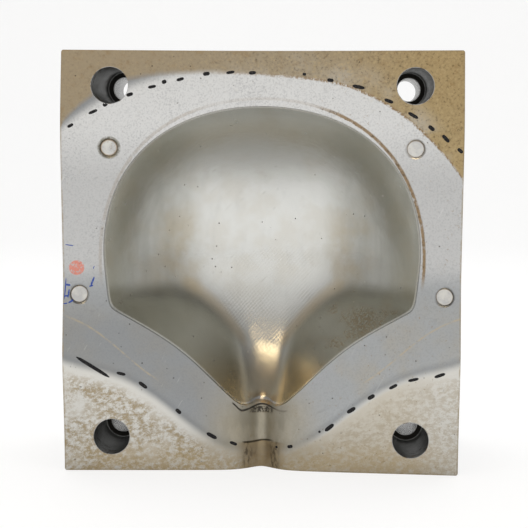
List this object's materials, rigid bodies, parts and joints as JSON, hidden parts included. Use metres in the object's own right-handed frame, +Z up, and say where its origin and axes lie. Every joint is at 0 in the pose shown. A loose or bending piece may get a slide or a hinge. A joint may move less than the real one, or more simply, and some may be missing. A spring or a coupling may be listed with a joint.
{
  "type": "injection mould half",
  "caption": "Steel injection mould half with a domed cavity narrowing to a neck, a contoured parting face, counterbored screw holes and flush dowel pins.",
  "frame": {"origin": "under the middle of the whole block, on the surface it stands on", "axes": "+Z up along the block's height, with the neck of the cavity at the bottom; the parting face looks towards -Y and the flat back towards +Y; +X is to the right seen from the front"},
  "size_m": [0.2, 0.095, 0.213],
  "materials": {
    "tool_steel": "milled and hand-polished tool steel, oxidised to brown outside the sealing land, with light rust, scratches and marker strokes",
    "dowel_steel": "ground flush with the face, slightly pitted"
  },
  "bodies": {
    "root": {"mould_block": "tool_steel", "dowel_pin_upper_left": "dowel_steel", "dowel_pin_upper_right": "dowel_steel", "dowel_pin_lower_left": "dowel_steel", "dowel_pin_lower_right": "dowel_steel"}
  },
  "joints": []
}
